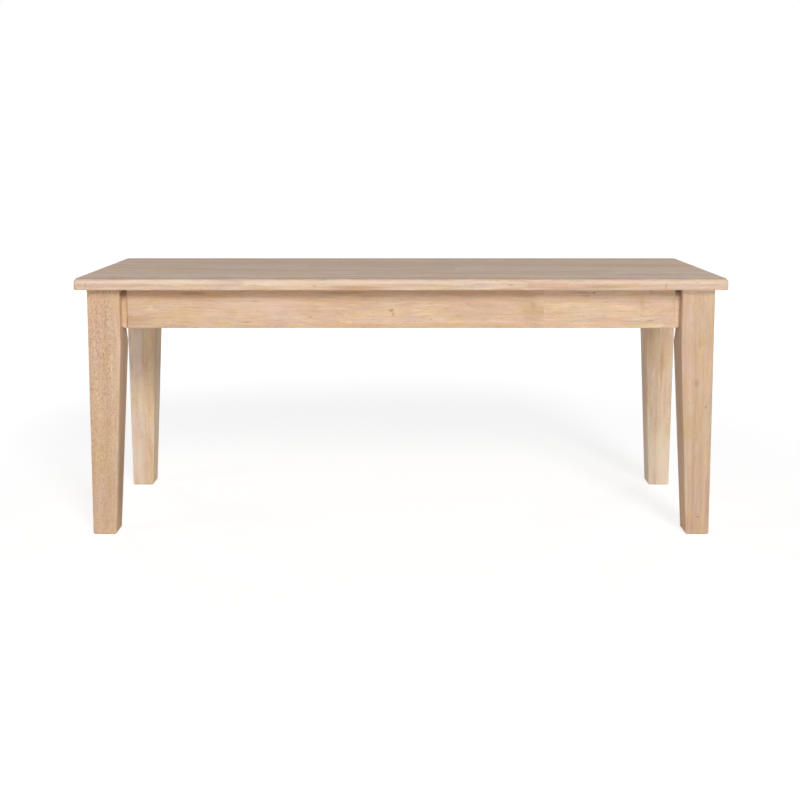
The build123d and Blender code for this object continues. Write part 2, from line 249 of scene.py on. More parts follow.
colour = add_node(wood, "ShaderNodeMix", {"data_type": "RGBA", "blend_type": "MULTIPLY"}, {
    "Factor": given.outputs["End"], "A": colour, "B": "#d9cdc1"})
wood.links.new(next(output for output in colour.outputs if output.enabled), result.inputs["Colour"])

# Roughness, a little more on fibres and pores, and the fine relief that sanding leaves, its depth in metres
rough = 0.55
for name, weight in (("fibres", 0.10), ("pores", 0.12)):
    rough = add_node(wood, "ShaderNodeMath", {"operation": "MULTIPLY_ADD"}, {
        0: layer[name], 1: weight, 2: rough})
wood.links.new(rough.outputs[0], result.inputs["Roughness"])
relief_strength = 0.35
relief_depth = 0.0003
relief = add_node(wood, "ShaderNodeMath", {"operation": "MULTIPLY_ADD"}, {
    0: layer["pores"], 1: -1.0, 2: shading})
bump = add_node(wood, "ShaderNodeBump", None, {
    "Strength": relief_strength, "Distance": relief_depth, "Height": relief})
wood.links.new(bump.outputs[0], result.inputs["Normal"])

# A mark in the wood, such as a knot, a stain or a streak, or a painted shade or highlight: full at its
# centre, gone at about its reach, and ragged at its edge. Centre and reach are in millimetres.
raggedness = 1.7
full_within = 0.75
none_beyond = 1.5
mark, given, result = new_group(
    "wood_mark_and_painted_light", {"Place": "Vector", "Centre": "Vector", "Reach": "Vector"}, {"Share": "Float"})
wave = add_node(mark, "ShaderNodeVectorMath", {"operation": "DIVIDE"}, {
    0: given.outputs["Place"], 1: given.outputs["Reach"]})
ragged = add_node(mark, "ShaderNodeTexNoise", None, {"Vector": wave, "Scale": raggedness, "Detail": 2})
away = add_node(mark, "ShaderNodeVectorMath", {"operation": "SUBTRACT"}, {
    0: given.outputs["Place"], 1: given.outputs["Centre"]})
away = add_node(mark, "ShaderNodeVectorMath", {"operation": "DIVIDE"}, {0: away, 1: given.outputs["Reach"]})
away = add_node(mark, "ShaderNodeVectorMath", {"operation": "LENGTH"}, {0: away})
away = add_node(mark, "ShaderNodeMath", {"operation": "ADD"}, {0: away.outputs["Value"], 1: ragged})
share = add_node(mark, "ShaderNodeMapRange", {"interpolation_type": "SMOOTHSTEP"}, {
    "Value": away, "From Min": full_within, "From Max": none_beyond, "To Min": 1, "To Max": 0})
mark.links.new(share.outputs[0], result.inputs["Share"])

# Grain of a piece: the turn that lays it along X, and its direction on the piece
grain_turn = {
    "along_bench": ((0, 0, 0), (1, 0, 0)),
    "across_bench": ((0, 0, -math.pi / 2), (0, 1, 0)),
    "upright": ((0, math.pi / 2, 0), (0, 0, 1)),
    "back_slash": ((0, 0, math.pi / 4), (math.sqrt(0.5), -math.sqrt(0.5), 0)),
    "forward_slash": ((0, 0, -math.pi / 4), (math.sqrt(0.5), math.sqrt(0.5), 0)),
}

# Tones of bare rubberwood boards: light wood and darker bands
tones = {
    "cream": ("#ecd6c4", "#dfc5b0"),
    "straw": ("#e6caac", "#d7b598"),
    "blush": ("#e6cdb8", "#d7b7a0"),
    "oat": ("#e5d2bd", "#d8bda6"),
    "honey": ("#e6caac", "#d9b898"),
    "clay": ("#dfc4a8", "#d1b094"),
    "pale": ("#f4e1ca", "#e8ceb0"),
    "pale_rose": ("#f2dec9", "#e9cfb7"),
    "pale_straw": ("#f0dabb", "#e4c7a3"),
}

# A metre in millimetres, the width of a growth ring, how far apart on the pattern any two pieces are cut, and
# how squarely a face has to meet the grain to show some end grain, and to show nothing else
metre = 1000
ring_width = 16
cut_apart = 3000
some_end_grain = 0.5
all_end_grain = 0.95


def rubberwood(node_name, lie, tone, seed, heart=(0, 30, -120), figure=0.3, flecks=None, marks=()):
    """Bare rubberwood for one piece: its own grain, tone, flecks, and marks that include painted shade and
    light.
    """
    material = bpy.data.materials.new("bare_rubberwood_" + node_name)
    material.use_nodes = True
    tree = material.node_tree
    tree.nodes.clear()
    turn, direction = grain_turn[lie]
    low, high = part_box(node_name)
    centre = (low + high) / 2 * metre
    centre.rotate(Euler(turn))
    spot = add_node(tree, "ShaderNodeTexCoord")
    turned = add_node(tree, "ShaderNodeMapping", None, {
        "Vector": spot.outputs["Object"], "Scale": (metre, metre, metre), "Rotation": turn,
        "Location": (seed * cut_apart - centre.x, -centre.y, -centre.z)})
    facing = add_node(tree, "ShaderNodeVectorMath", {"operation": "DOT_PRODUCT"}, {
        0: spot.outputs["Normal"], 1: direction})
    facing = add_node(tree, "ShaderNodeMath", {"operation": "ABSOLUTE"}, {0: facing.outputs["Value"]})
    end = add_node(tree, "ShaderNodeMapRange", {"interpolation_type": "SMOOTHSTEP"}, {
        "Value": facing, "From Min": some_end_grain, "From Max": all_end_grain})
    spot_mm = add_node(tree, "ShaderNodeVectorMath", {"operation": "SCALE"}, {
        0: spot.outputs["Object"], "Scale": metre})
    fleck_share = 0.0
    if flecks:
        place = add_node(tree, "ShaderNodeSeparateXYZ", None, {0: spot_mm})
        strength, (none_at, full_at), (foot_share, foot_top) = flecks
        sideways = add_node(tree, "ShaderNodeMapRange", None, {
            "Value": place.outputs["X"], "From Min": none_at, "From Max": full_at, "To Max": strength})
        upward = add_node(tree, "ShaderNodeMapRange", None, {
            "Value": place.outputs["Z"], "From Max": foot_top, "To Min": foot_share, "To Max": 1})
        fleck_share = add_node(tree, "ShaderNodeMath", {"operation": "MULTIPLY"}, {0: sideways, 1: upward})
    light, dark = tones[tone]
    grain = add_node(tree, "ShaderNodeGroup", {"node_tree": wood}, {
        "Place": turned, "Heart": heart, "Ring width": ring_width, "Figure": figure, "Flecks": fleck_share,
        "End": end, "Light": light, "Dark": dark})
    colour = grain.outputs["Colour"]
    for place, reach, shade, strength in marks:
        share = add_node(tree, "ShaderNodeGroup", {"node_tree": mark}, {
            "Place": spot_mm, "Centre": place, "Reach": reach})
        share = add_node(tree, "ShaderNodeMath", {"operation": "MULTIPLY"}, {0: share, 1: strength})
        colour = add_node(tree, "ShaderNodeMix", {"data_type": "RGBA"}, {
            "Factor": share, "A": colour, "B": shade})
    surface = add_node(tree, "ShaderNodeBsdfPrincipled", None, {
        "Base Color": colour, "Roughness": grain.outputs["Roughness"], "Normal": grain.outputs["Normal"],
        "IOR": 1.5})
    add_node(tree, "ShaderNodeOutputMaterial", None, {"Surface": surface})
    for slot in nodes[node_name].material_slots:
        slot.material = material


# Seat: six rows of three lengths, the first at the front. The routed front edge has a painted highlight
# near its top, a painted shade in a fine line where its rounding starts, and a painted highlight on its right
# end's corner. A mark has its place and reach in millimetres, its colour and its strength.
seat_tones = [
    ("cream", "cream", "cream"),
    ("oat", "oat", "oat"),
    ("straw", "oat", "cream"),
    ("oat", "oat", "straw"),
    ("oat", "blush", "oat"),
    ("blush", "oat", "oat"),
]
# Painted shade in a fine line along the top of the front edge, where its rounding starts
rounding_painted_shade = ((0, -186, 461), (2000, 4.5, 2.8), "#a0866e", 0.5)
front_edge_marks = {
    "left": [
        rounding_painted_shade,
        # Painted highlight near the top of the front edge
        ((-440, -191, 454.5), (260, 6, 5), "#f4e0c8", 0.5),
        ((-360, -190, 446), (170, 9, 5.5), "#e9bf96", 0.3),
        ((-546, -190, 450), (2.5, 9, 5), "#b98f6a", 0.4),
    ],
    "middle": [
        rounding_painted_shade,
        # Painted highlight near the top of the front edge
        ((-40, -191, 454.5), (420, 6, 5), "#f2deb8", 0.5),
        ((-150, -190, 446), (260, 9, 5.5), "#e6b88c", 0.5),
        ((60, -190, 447), (170, 9, 7), "#dcb88e", 0.4),
        ((-149, -190, 448), (6, 9, 3), "#c09570", 0.4),
        ((-76, -190, 445.5), (78, 9, 5), "#c59a74", 0.65),
        ((195, -190, 449), (70, 9, 8), "#e6c7a0", 0.5),
        ((190, -190, 450), (9, 9, 3), "#c59a74", 0.5),
        ((190, -190, 443), (40, 9, 4), "#d0a07a", 0.5),
    ],
    "right": [
        rounding_painted_shade,
        # Painted highlight near the top of the front edge
        ((400, -191, 454.5), (300, 6, 5), "#f0dab4", 0.35),
        ((350, -190, 448.5), (230, 9, 6), "#d8a87e", 0.55),
        ((270, -190, 443.5), (80, 9, 5), "#c99c76", 0.55),
        ((350, -190, 447), (50, 9, 5), "#bb9475", 0.5),
        ((480, -190, 443), (90, 9, 4.5), "#d2a884", 0.5),
        ((458, -190, 447), (3, 9, 9), "#b98d69", 0.4),
        # Painted highlight on the rounded front corner of the right end
        ((567, -184, 452), (6, 12, 12), "#f6e8d6", 0.7),
    ],
}

# The heart of the tree lies to either side by turns and at four depths, so that the bands differ from one
# length to the next
seat_lengths = ("left", "middle", "right")
heart_aside = 60
heart_below = 90
heart_step = 15
depths = 4
for row, row_tones in enumerate(seat_tones):
    for column, (place, tone) in enumerate(zip(seat_lengths, row_tones)):
        seed = row * len(seat_lengths) + column + 1
        heart = (0, (-1) ** seed * heart_aside, -heart_below - heart_step * (seed % depths))
        marks = front_edge_marks[place] if row == 0 else ()
        rubberwood(f"seat_row_{row + 1}_{place}", "along_bench", tone, seed, heart, marks=marks)

# Aprons, with knots, streaks and stains on the front one, and on it painted shade and painted light
rubberwood("front_apron_left", "along_bench", "straw", 31, heart=(0, -150, 40), marks=[
    # Painted shade in the pocket above the tongue, under the seat
    ((-487, -154.5, 437), (20, 5.2, 16), "#74491a", 0.9),
    # Painted light on the tongue, lifting the shade between the leg and the apron's shoulder
    ((-487, -154.5, 395), (20, 5.2, 45), "#f2d6a0", 0.4),
    # Painted shadow of the seat: a darker, warmer band under its overhang
    ((-120, -160, 437), (600, 9, 8), "#c98b56", 0.2),
    ((-120, -160, 423), (600, 9, 10), "#96744f", 0.26),
    ((-400, -160, 428), (180, 9, 10), "#be8550", 0.32),
    ((140, -160, 405), (110, 9, 30), "#c9a585", 0.3),
    ((-250, -160, 408), (120, 12, 20), "#e9c6b6", 0.45),
    ((40, -160, 374), (470, 12, 7), "#e2b47e", 0.4),
    ((-380, -160, 390), (60, 12, 18), "#e6bd8a", 0.35),
    ((230, -160, 403), (34, 12, 32), "#c9a27a", 0.42),
    ((232, -160, 410), (9, 12, 10), "#b99668", 0.45),
    ((-441, -160, 406), (9, 9, 9), "#ecd09c", 0.5),
    ((-272, -160, 380.5), (13, 9, 1.5), "#a96a44", 0.7),
    ((-257, -160, 418), (10, 9, 1.3), "#9a7350", 0.55),
    ((-365, -160, 432), (30, 9, 4), "#9a7047", 0.4),
    ((-104, -160, 433), (60, 9, 3.5), "#94693f", 0.35),
    ((-17, -160, 402), (6, 9, 4.2), "#9c6440", 0.6),
    ((-14, -160, 395), (4, 9, 5), "#b97f58", 0.5),
    ((-160, -160, 390), (6, 9, 3), "#c2a05c", 0.5),
    ((118, -160, 413), (2.5, 9, 4), "#b5875c", 0.5),
    ((24, -160, 422), (7, 9, 1.5), "#a58058", 0.45),
    ((52, -160, 413), (8, 9, 1.5), "#a58058", 0.45),
    ((80, -160, 405), (8, 9, 1.5), "#a58058", 0.4),
    ((53, -160, 386), (4, 9, 2), "#ad8158", 0.5),
])
rubberwood("front_apron_right", "along_bench", "straw", 32, heart=(0, -180, 60), marks=[
    # Painted shade in the pocket above the tongue, under the seat
    ((487, -154.5, 437), (20, 5.2, 16), "#694213", 0.9),
    # Painted light on the tongue, lifting the shade between the leg and the apron's shoulder
    ((487, -154.5, 395), (20, 5.2, 45), "#f8e6cc", 0.5),
    # Painted shadow of the seat: a darker, warmer band under its overhang
    ((380, -160, 421), (400, 9, 10), "#96785f", 0.26),
    ((320, -160, 433), (24, 9, 1.6), "#86603e", 0.5),
    ((339, -160, 433), (3, 9, 3), "#7c5636", 0.6),
    ((325, -160, 427), (12, 9, 3), "#a57c55", 0.4),
    ((424, -160, 415), (7, 9, 18), "#c59a70", 0.45),
    ((438, -160, 383), (12, 9, 3), "#b48860", 0.45),
    ((360, -160, 374), (140, 12, 6), "#e4bb86", 0.35),
])
rubberwood("rear_apron_left", "along_bench", "straw", 33, heart=(0, 140, 60))
rubberwood("rear_apron_right", "along_bench", "blush", 34, heart=(0, 120, -60))
rubberwood("left_apron", "across_bench", "straw", 35)
rubberwood("right_apron", "across_bench", "oat", 36)

# Legs. The front left leg is cut from wood with many flecks. Their strength is followed by the X where they
# start and the X where they are full, then by the part left at the foot and the height where all are there.
many_flecks = (0.62, (-498, -508), (0.5, 400))
rubberwood("front_left_leg_outer_layer", "upright", "honey", 41, figure=0.2, flecks=many_flecks, marks=[
    # Painted shadow of the seat at the top of the leg
    ((-530, -171, 430), (60, 9, 8), "#bd9b7e", 0.35),
    ((-530, -171, 100), (60, 9, 120), "#c99f78", 0.2),
])
rubberwood("front_left_leg_inner_layer", "upright", "honey", 42, figure=0.2, flecks=many_flecks, marks=[
    # Painted shadow of the seat at the top of the leg
    ((-500, -171, 430), (60, 9, 8), "#bd9b7e", 0.35),
    ((-530, -171, 100), (60, 9, 120), "#c99f78", 0.2),
    # Painted shade on the inner side face
    ((-510, -138, 200), (50, 32, 300), "#b28f70", 0.55),
    ((-508, -148, 90), (50, 22, 130), "#b28f70", 0.85),
])
rubberwood("front_right_leg_outer_layer", "upright", "clay", 43, figure=0.2, marks=[
    # Painted light at the top of the leg, lifting the seat's shadow there
    ((540, -171, 441), (60, 9, 13), "#fbe4c8", 0.8),
    ((529, -171, 32), (4, 9, 2.5), "#8f7a66", 0.6),
    ((521, -171, 274), (7, 9, 10), "#b98b62", 0.45),
    ((538, -171, 231), (3, 9, 5), "#a3764e", 0.5),
    ((525, -171, 342), (4, 9, 12), "#c2946c", 0.4),
    ((527, -171, 350), (18, 9, 14), "#cfac7c", 0.5),
    ((520, -171, 225), (26, 9, 42), "#d3ac7c", 0.5),
])
rubberwood("front_right_leg_inner_layer", "upright", "clay", 44, figure=0.2, marks=[
    # Painted light at the top of the leg, lifting the seat's shadow there
    ((500, -171, 441), (60, 9, 13), "#fbe4c8", 0.8),
    # Painted shade on the inner side face
    ((500, -138, 200), (24, 32, 300), "#b98f6c", 0.35),
    ((521, -171, 274), (7, 9, 10), "#b98b62", 0.45),
    ((508, -171, 190), (12, 9, 40), "#d3a778", 0.35),
])
rubberwood("rear_left_leg_outer_layer", "upright", "pale_rose", 45, figure=0.18, marks=[
    # Painted light at the top of the leg, lifting the shadow of the seat and the front apron
    ((-535, 118, 285), (20, 14, 60), "#ffe8d6", 0.7),
    ((-538, 130, 60), (20, 12, 90), "#f9e6cf", 0.4),
])
rubberwood("rear_left_leg_inner_layer", "upright", "pale_straw", 46, figure=0.22, marks=[
    ((-508, 121, 195), (18, 14, 55), "#cba97e", 0.35),
    ((-499, 145, 200), (14, 26, 300), "#efe2d6", 0.5),
])
rubberwood("rear_right_leg_outer_layer", "upright", "pale", 47, figure=0.22, marks=[
    ((535, 118, 281), (24, 14, 50), "#e0ba8e", 0.5),
    ((526, 119, 250), (6, 14, 60), "#b98a62", 0.4),
    ((535, 130, 60), (30, 12, 130), "#ffebd0", 0.7),
])
rubberwood("rear_right_leg_inner_layer", "upright", "pale", 48, figure=0.22, marks=[
    ((505, 118, 281), (24, 14, 50), "#e0ba8e", 0.5),
    # Painted shade on the inner side face
    ((500, 146, 230), (14, 24, 220), "#c9a98c", 0.35),
    ((505, 130, 60), (30, 12, 130), "#ffebd0", 0.7),
    ((509, 130, 160), (2.2, 12, 90), "#c09a74", 0.45),
    ((518, 130, 250), (1.8, 12, 70), "#b58a64", 0.45),
    ((524, 130, 310), (2.2, 12, 60), "#b58a64", 0.4),
])

# Corner blocks, with the grain from end to end of each, and cross rail
corner_grain = {
    "front_left": "back_slash",
    "front_right": "forward_slash",
    "rear_left": "forward_slash",
    "rear_right": "back_slash",
}
first_block_seed = 51
for number, (corner, lie) in enumerate(corner_grain.items()):
    rubberwood(f"{corner}_corner_block", lie, "oat", first_block_seed + number)
rubberwood("cross_rail", "across_bench", "oat", 55)

# Zinc-plated steel, dull and slightly blue, cloudy from one millimetre to the next
clouds_in_metre = 900
shiniest = 0.24
dullest = 0.46
zinc = bpy.data.materials.new("zinc_plated_steel")
zinc.use_nodes = True
tree = zinc.node_tree
tree.nodes.clear()
spot = add_node(tree, "ShaderNodeTexCoord")
cloud = add_node(tree, "ShaderNodeTexNoise", None, {
    "Vector": spot.outputs["Object"], "Scale": clouds_in_metre, "Detail": 3})
tint = add_node(tree, "ShaderNodeMix", {"data_type": "RGBA"}, {
    "Factor": cloud, "A": "#b9bec2", "B": "#d7d9d6"})
rough = add_node(tree, "ShaderNodeMapRange", None, {"Value": cloud, "To Min": shiniest, "To Max": dullest})
surface = add_node(tree, "ShaderNodeBsdfPrincipled", None, {
    "Base Color": tint, "Metallic": 1.0, "Roughness": rough})
add_node(tree, "ShaderNodeOutputMaterial", None, {"Surface": surface})

# Steel pieces, made in millimetres with their axis on Z. The threaded shank is a grid rolled round the axis.
# Its rows stand at root and crest by turns and climb two rows in a turn, which winds them into a thread.
# Five more rows than half turns, three of them before its start, close its ends, because the first and the
# last row lie on the axis.
thread_sides = 16
more_rows = 5
rows_before = 3
join_distance = 0.001
full_turn = 2 * math.pi
thread, given, result = new_group(
    "threaded_shank",
    {"Diameter": "Float", "Root": "Float", "Pitch": "Float", "Length": "Float", "Taper": "Float",
     "End": "Float"},
    {"Shank": "Geometry"}, "GeometryNodeTree")
size = given.outputs
half_turns = add_node(thread, "ShaderNodeMath", {"operation": "DIVIDE"}, {
    0: size["Length"], 1: size["Pitch"]})
half_turns = add_node(thread, "ShaderNodeMath", {"operation": "MULTIPLY"}, {0: half_turns, 1: 2})
half_turns = add_node(thread, "ShaderNodeMath", {"operation": "ROUND"}, {0: half_turns})
rows = add_node(thread, "ShaderNodeMath", {"operation": "ADD"}, {0: half_turns, 1: more_rows})
rows = add_node(thread, "FunctionNodeFloatToInt", None, {0: rows})
sheet = add_node(thread, "GeometryNodeMeshGrid", None, {
    "Size X": 1, "Size Y": 1, "Vertices X": rows, "Vertices Y": thread_sides + 1})
index = add_node(thread, "GeometryNodeInputIndex")
row = add_node(thread, "ShaderNodeMath", {"operation": "ADD"}, {0: index, 1: 0.5})
row = add_node(thread, "ShaderNodeMath", {"operation": "DIVIDE"}, {0: row, 1: thread_sides + 1})
row = add_node(thread, "ShaderNodeMath", {"operation": "FLOOR"}, {0: row})
turn = add_node(thread, "ShaderNodeMath", {"operation": "MODULO"}, {0: index, 1: thread_sides + 1})
turn = add_node(thread, "ShaderNodeMath", {"operation": "DIVIDE"}, {0: turn, 1: thread_sides})
lead = add_node(thread, "ShaderNodeMath", {"operation": "MULTIPLY_ADD"}, {0: turn, 1: 2, 2: row})
lead = add_node(thread, "ShaderNodeMath", {"operation": "SUBTRACT"}, {0: lead, 1: rows_before})

# How far each point lies along the shank, kept between its two ends
climb = add_node(thread, "ShaderNodeMath", {"operation": "DIVIDE"}, {0: size["Length"], 1: half_turns})
climb = add_node(thread, "ShaderNodeMath", {"operation": "MULTIPLY"}, {0: climb, 1: lead})
climb = add_node(thread, "ShaderNodeMath", {"operation": "MAXIMUM"}, {0: climb, 1: 0})
climb = add_node(thread, "ShaderNodeMath", {"operation": "MINIMUM"}, {0: climb, 1: size["Length"]})

# Its radius at root or crest, narrower towards the tip, and nothing in the first and the last row
to_tip = add_node(thread, "ShaderNodeMath", {"operation": "SUBTRACT"}, {0: size["Length"], 1: climb})
narrow = add_node(thread, "ShaderNodeMapRange", None, {
    "Value": to_tip, "From Min": 0, "From Max": size["Taper"], "To Min": size["End"], "To Max": 1})
crest = add_node(thread, "ShaderNodeMath", {"operation": "MODULO"}, {0: row, 1: 2})
radius = add_node(thread, "ShaderNodeMapRange", None, {
    "Value": crest, "To Min": size["Root"], "To Max": size["Diameter"]})
radius = add_node(thread, "ShaderNodeMath", {"operation": "MULTIPLY"}, {0: radius, 1: narrow})
radius = add_node(thread, "ShaderNodeMath", {"operation": "MULTIPLY"}, {0: radius, 1: 0.5})
after_first = add_node(thread, "ShaderNodeMath", {"operation": "GREATER_THAN"}, {0: row, 1: 0.5})
last_row = add_node(thread, "ShaderNodeMath", {"operation": "SUBTRACT"}, {0: rows, 1: 1.5})
before_last = add_node(thread, "ShaderNodeMath", {"operation": "LESS_THAN"}, {0: row, 1: last_row})
radius = add_node(thread, "ShaderNodeMath", {"operation": "MULTIPLY"}, {0: radius, 1: after_first})
radius = add_node(thread, "ShaderNodeMath", {"operation": "MULTIPLY"}, {0: radius, 1: before_last})
angle = add_node(thread, "ShaderNodeMath", {"operation": "MULTIPLY"}, {0: turn, 1: full_turn})
spot = add_node(thread, "ShaderNodeCombineXYZ", None, {0: radius, 2: climb})
spot = add_node(thread, "ShaderNodeVectorRotate", {"rotation_type": "Z_AXIS"}, {
    "Vector": spot, "Angle": angle})
rolled = add_node(thread, "GeometryNodeSetPosition", None, {"Geometry": sheet, "Position": spot})
closed = add_node(thread, "GeometryNodeMergeByDistance", None, {
    "Geometry": rolled, "Distance": join_distance})
closed = add_node(thread, "GeometryNodeFlipFaces", None, {0: closed})
thread.links.new(closed.outputs[0], result.inputs[0])

# Every steel piece stands on points that carry its axis, which points out of the wood. A direction that no
# axis has settles how it is turned about that axis, and a spin turns screws and nuts each by its own amount.
no_axis = (0.05, 0.1, 1)
millimetre = (0.001, 0.001, 0.001)
upside_down = Euler((math.pi, 0, 0))
stand, given, result = new_group(
    "stand_on_spots", {"Spots": "Geometry", "Piece": "Geometry", "Spin": "Float", "Finish": "Material"},
    {"Pieces": "Geometry"}, "GeometryNodeTree")
axis = add_node(stand, "GeometryNodeInputNamedAttribute", {"data_type": "FLOAT_VECTOR"}, {"Name": "axis"})
turned = add_node(stand, "FunctionNodeAxesToRotation", {"primary_axis": "Z", "secondary_axis": "Y"}, {
    0: axis, 1: no_axis})
spin = add_node(stand, "FunctionNodeRandomValue", {"data_type": "FLOAT"}, {
    "Min": 0, "Max": given.outputs["Spin"], "Seed": 7})
spin = add_node(stand, "ShaderNodeCombineXYZ", None, {2: spin})
spin = add_node(stand, "FunctionNodeEulerToRotation", None, {0: spin})
turned = add_node(stand, "FunctionNodeRotateRotation", {"rotation_space": "LOCAL"}, {0: turned, 1: spin})
pieces = add_node(stand, "GeometryNodeInstanceOnPoints", None, {
    "Points": given.outputs["Spots"], "Instance": given.outputs["Piece"], "Rotation": turned,
    "Scale": millimetre})
pieces = add_node(stand, "GeometryNodeRealizeInstances", None, {0: pieces})
pieces = add_node(stand, "GeometryNodeSetMaterial", None, {
    "Geometry": pieces, "Material": given.outputs["Finish"]})
stand.links.new(pieces.outputs[0], result.inputs[0])

# Pan-head wood screw with a cross recess that narrows to its bottom. The head is a disc rounded by a dome,
# and dome and recess are given as parts of the head's height and of the recess's width.
dome_radius_part = 2
dome_drop_part = 0.8
slot_width_part = 0.2
slot_height_part = 1.5
slot_bottom_part = (0.35, 0.6, 1)
head_sides = 32
screw, given, result = new_group(
    "pan_head_screw",
    {"Spots": "Geometry", "Length": "Float", "Diameter": "Float", "Root": "Float", "Pitch": "Float",
     "Point": "Float", "Head width": "Float", "Head height": "Float", "Recess width": "Float",
     "Finish": "Material"},
    {"Screws": "Geometry"}, "GeometryNodeTree")
size = given.outputs
shank = add_node(screw, "GeometryNodeGroup", {"node_tree": thread}, {
    "Diameter": size["Diameter"], "Root": size["Root"], "Pitch": size["Pitch"], "Length": size["Length"],
    "Taper": size["Point"]})
shank = add_node(screw, "GeometryNodeTransform", None, {"Geometry": shank, "Rotation": upside_down})
head_radius = add_node(screw, "ShaderNodeMath", {"operation": "DIVIDE"}, {0: size["Head width"], 1: 2})
disc = add_node(screw, "GeometryNodeMeshCylinder", None, {
    "Vertices": head_sides, "Radius": head_radius, "Depth": size["Head height"]})
half_height = add_node(screw, "ShaderNodeMath", {"operation": "DIVIDE"}, {0: size["Head height"], 1: 2})
lift = add_node(screw, "ShaderNodeCombineXYZ", None, {2: half_height})
disc = add_node(screw, "GeometryNodeTransform", None, {"Geometry": disc, "Translation": lift})
dome_radius = add_node(screw, "ShaderNodeMath", {"operation": "MULTIPLY"}, {
    0: size["Head height"], 1: dome_radius_part})
dome = add_node(screw, "GeometryNodeMeshUVSphere", None, {
    "Segments": head_sides, "Rings": head_sides, "Radius": dome_radius})
dome_drop = add_node(screw, "ShaderNodeMath", {"operation": "MULTIPLY"}, {
    0: size["Head height"], 1: -dome_drop_part})
lift = add_node(screw, "ShaderNodeCombineXYZ", None, {2: dome_drop})
dome = add_node(screw, "GeometryNodeTransform", None, {"Geometry": dome, "Translation": lift})
head = add_node(screw, "GeometryNodeMeshBoolean", {"operation": "INTERSECT", "solver": "EXACT"}, {
    "Mesh": [disc, dome]})
wide = add_node(screw, "ShaderNodeMath", {"operation": "MULTIPLY"}, {
    0: size["Recess width"], 1: slot_width_part})
deep = add_node(screw, "ShaderNodeMath", {"operation": "MULTIPLY"}, {
    0: size["Head height"], 1: slot_height_part})
bar = add_node(screw, "ShaderNodeCombineXYZ", None, {0: size["Recess width"], 1: wide, 2: deep})
slot = add_node(screw, "GeometryNodeMeshCube", None, {"Size": bar})
corner = add_node(screw, "GeometryNodeInputPosition")
low = add_node(screw, "ShaderNodeSeparateXYZ", None, {0: corner})
low = add_node(screw, "ShaderNodeMath", {"operation": "LESS_THAN"}, {0: low.outputs["Z"], 1: 0})
narrowed = add_node(screw, "ShaderNodeVectorMath", {"operation": "MULTIPLY"}, {
    0: corner, 1: slot_bottom_part})
slot = add_node(screw, "GeometryNodeSetPosition", None, {
    "Geometry": slot, "Selection": low, "Position": narrowed})
lift = add_node(screw, "ShaderNodeCombineXYZ", None, {2: size["Head height"]})
slot = add_node(screw, "GeometryNodeTransform", None, {"Geometry": slot, "Translation": lift})
crossed = add_node(screw, "GeometryNodeTransform", None, {
    "Geometry": slot, "Rotation": Euler((0, 0, math.pi / 2))})
head = add_node(screw, "GeometryNodeMeshBoolean", {"operation": "DIFFERENCE", "solver": "EXACT"}, {
    "Mesh 1": head, "Mesh 2": [slot, crossed]})
whole = add_node(screw, "GeometryNodeJoinGeometry", None, {0: [shank, head]})
placed = add_node(screw, "GeometryNodeGroup", {"node_tree": stand}, {
    "Spots": size["Spots"], "Piece": whole, "Spin": full_turn, "Finish": size["Finish"]})
screw.links.new(placed.outputs[0], result.inputs[0])

# Hanger bolt: wood thread into the leg, machine thread out of it. The roots and the machine thread's bevelled
# end are given as parts of its diameter.
wood_root_part = 0.7
machine_root_part = 0.85
bevelled_end_part = 0.75
bolt, given, result = new_group(
    "hanger_bolt",
    {"Spots": "Geometry", "Diameter": "Float", "Entry": "Float", "Reach": "Float", "Wood pitch": "Float",
     "Machine pitch": "Float", "Point": "Float", "Bevel": "Float", "Finish": "Material"},
    {"Bolts": "Geometry"}, "GeometryNodeTree")
size = given.outputs
wood_root = add_node(bolt, "ShaderNodeMath", {"operation": "MULTIPLY"}, {
    0: size["Diameter"], 1: wood_root_part})
machine_root = add_node(bolt, "ShaderNodeMath", {"operation": "MULTIPLY"}, {
    0: size["Diameter"], 1: machine_root_part})
wood_end = add_node(bolt, "GeometryNodeGroup", {"node_tree": thread}, {
    "Diameter": size["Diameter"], "Root": wood_root, "Pitch": size["Wood pitch"], "Length": size["Entry"],
    "Taper": size["Point"]})
wood_end = add_node(bolt, "GeometryNodeTransform", None, {"Geometry": wood_end, "Rotation": upside_down})
machine_end = add_node(bolt, "GeometryNodeGroup", {"node_tree": thread}, {
    "Diameter": size["Diameter"], "Root": machine_root, "Pitch": size["Machine pitch"],
    "Length": size["Reach"], "Taper": size["Bevel"], "End": bevelled_end_part})
whole = add_node(bolt, "GeometryNodeJoinGeometry", None, {0: [wood_end, machine_end]})
placed = add_node(bolt, "GeometryNodeGroup", {"node_tree": stand}, {
    "Spots": size["Spots"], "Piece": whole, "Finish": size["Finish"]})
bolt.links.new(placed.outputs[0], result.inputs[0])

# Hex nut, chamfered at both faces by two wide cones, with a bore and a countersink at either end of it.
# The chamfer and the countersink are given as parts of its width and of its bore, and the countersinks stand
# a little proud of the faces.
face_part = 0.48
mouth_part = 0.58
mouth_place_part = 0.52
cone_sides = 48
bore_sides = 32
nut, given, result = new_group(
    "hex_nut",
    {"Spots": "Geometry", "Width": "Float", "Thickness": "Float", "Bore": "Float", "Finish": "Material"},
    {"Nuts": "Geometry"}, "GeometryNodeTree")
size = given.outputs
corner_radius = add_node(nut, "ShaderNodeMath", {"operation": "MULTIPLY"}, {
    0: size["Width"], 1: 1 / math.sqrt(3)})
prism = add_node(nut, "GeometryNodeMeshCylinder", None, {
    "Vertices": 6, "Radius": corner_radius, "Depth": size["Thickness"]})
face_radius = add_node(nut, "ShaderNodeMath", {"operation": "MULTIPLY"}, {0: size["Width"], 1: face_part})
flare = add_node(nut, "ShaderNodeMath", {"operation": "MULTIPLY_ADD"}, {
    0: size["Thickness"], 1: math.sqrt(3), 2: face_radius})
